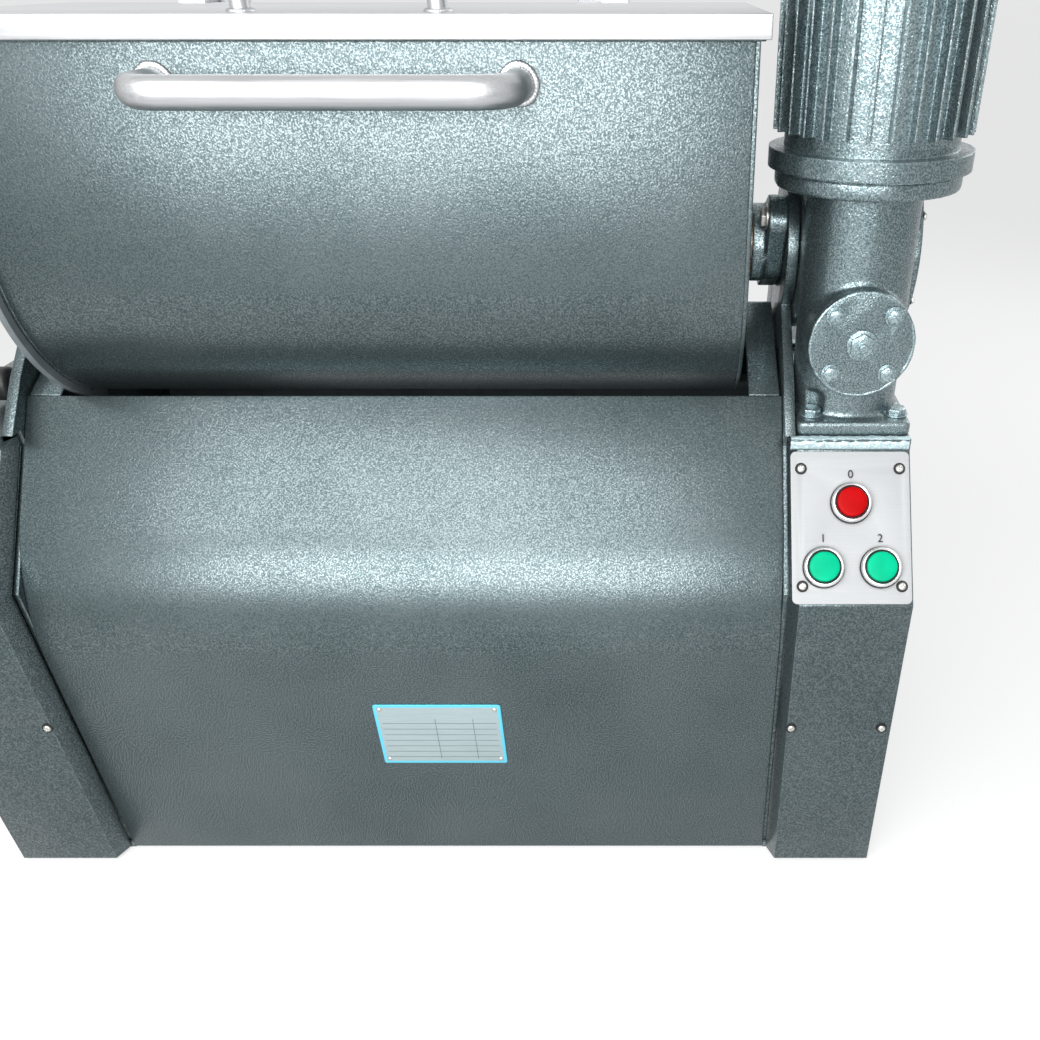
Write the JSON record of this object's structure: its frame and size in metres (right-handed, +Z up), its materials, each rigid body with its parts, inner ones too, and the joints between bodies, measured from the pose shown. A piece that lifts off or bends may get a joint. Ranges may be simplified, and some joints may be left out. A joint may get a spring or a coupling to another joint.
{
  "type": "dough mixer",
  "caption": "Horizontal trough dough mixer on two pedestals: tipping trough with lid, Z blade, worm gearbox, vertical motor and push-button panel.",
  "frame": {"origin": "on the floor at the centre of the rectangle of four anchor holes, under the tipping axis and halfway between the pedestals", "axes": "+X along the trough towards the gearbox, +Y to the back, +Z up"},
  "size_m": [0.7845, 0.4042, 0.78],
  "materials": {
    "hammer_paint": "hammered silver-grey metallic enamel, semi-gloss",
    "frame_steel": "grey enamel",
    "stainless": "brushed stainless steel",
    "zinc": "bright zinc plating",
    "ground_steel": "ground steel",
    "bronze": "machined bronze",
    "panel_aluminium": "satin anodised aluminium",
    "chrome": "polished chrome",
    "cap_red": "glossy red plastic",
    "cap_green": "glossy green plastic",
    "black_plastic": "black moulded plastic",
    "rubber": "black rubber",
    "plate_print": "printed aluminium plate, blank"
  },
  "bodies": {
    "base": {"pedestal_shell_right": "hammer_paint", "pedestal_shell_left": "hammer_paint", "frame_plate_left": "hammer_paint", "frame_plate_right": "hammer_paint", "base_plates": "frame_steel", "bearing_housings": "hammer_paint", "trunnion_bushes": "bronze", "casing_wings": "hammer_paint", "cross_rails": "frame_steel", "front_casing": "hammer_paint", "rear_casing": "hammer_paint", "data_plate": "plate_print", "plate_rivets": "zinc", "housing_bolts": "zinc", "bearing_cap": "hammer_paint", "gearbox_housing": "hammer_paint", "gearbox_bearings": "ground_steel", "drum_cover": "hammer_paint", "drum_screws": "zinc", "inspection_cover": "hammer_paint", "cover_bolts": "hammer_paint", "filler_plug": "hammer_paint", "foot_bolts": "hammer_paint", "motor_housing": "hammer_paint", "fan_cowl": "hammer_paint", "terminal_box": "hammer_paint", "terminal_lid": "hammer_paint", "terminal_gland": "black_plastic", "control_panel": "panel_aluminium", "pan_screws": "zinc", "button_bezels": "chrome", "contact_blocks": "black_plastic", "mounting_rail": "zinc", "contactors": "black_plastic", "inlet_gland": "black_plastic", "lock_bush": "ground_steel"},
    "trough": {"trough_shell": "hammer_paint", "trough_ends": "hammer_paint", "trough_rim": "hammer_paint", "trunnions": "ground_steel", "shaft_seals": "rubber", "tipping_handle": "stainless", "index_sector": "frame_steel", "hinge_brackets": "stainless", "hinge_pins": "zinc"},
    "lid": {"lid": "stainless", "lid_knuckles": "stainless", "lid_grip": "stainless"},
    "blade": {"kneading_blade": "stainless", "idle_shaft": "ground_steel", "drive_shaft": "ground_steel", "worm_wheel": "bronze"},
    "worm": {"worm_shaft": "ground_steel", "motor_rotor": "ground_steel", "motor_fan": "black_plastic"},
    "stop_cap": {"stop_button": "cap_red"},
    "start_cap_left": {"start_button_left": "cap_green"},
    "start_cap_right": {"start_button_right": "cap_green"},
    "lock": {"tilt_lock_rod": "black_plastic"}
  },
  "joints": [
    {"name": "trough_tilt", "type": "hinge", "parent": "base", "child": "trough", "pos_m": [0, 0, 0.488], "axis": [1, 0, 0], "range_deg": [0, 70]},
    {"name": "lid_hinge", "type": "hinge", "parent": "trough", "child": "lid", "pos_m": [0, 0.124, 0.6419], "axis": [-1, 0, 0], "range_deg": [0, 100]},
    {"name": "blade_spin", "type": "hinge", "parent": "base", "child": "blade", "pos_m": [0, 0, 0.488], "axis": [1, 0, 0], "continuous": true},
    {"name": "worm_spin", "type": "hinge", "parent": "base", "child": "worm", "pos_m": [0.336, -0.063, 0.488], "axis": [0, 0, 1], "continuous": true},
    {"name": "stop_press", "type": "slide", "parent": "base", "child": "stop_cap", "axis": [0, 0.7647, -0.6444], "range_m": [0, 0.003], "stiffness_N_per_m": 400, "springref_m": -0.004},
    {"name": "start_left_press", "type": "slide", "parent": "base", "child": "start_cap_left", "axis": [0, 0.7647, -0.6444], "range_m": [0, 0.003], "stiffness_N_per_m": 400, "springref_m": -0.004},
    {"name": "start_right_press", "type": "slide", "parent": "base", "child": "start_cap_right", "axis": [0, 0.7647, -0.6444], "range_m": [0, 0.003], "stiffness_N_per_m": 400, "springref_m": -0.004},
    {"name": "lock_slide", "type": "slide", "parent": "base", "child": "lock", "axis": [1, 0, 0], "range_m": [0, 0.006]}
  ],
  "couplings": [
    {"joint": "worm_spin", "follows": "blade_spin", "ratio": 32}
  ]
}
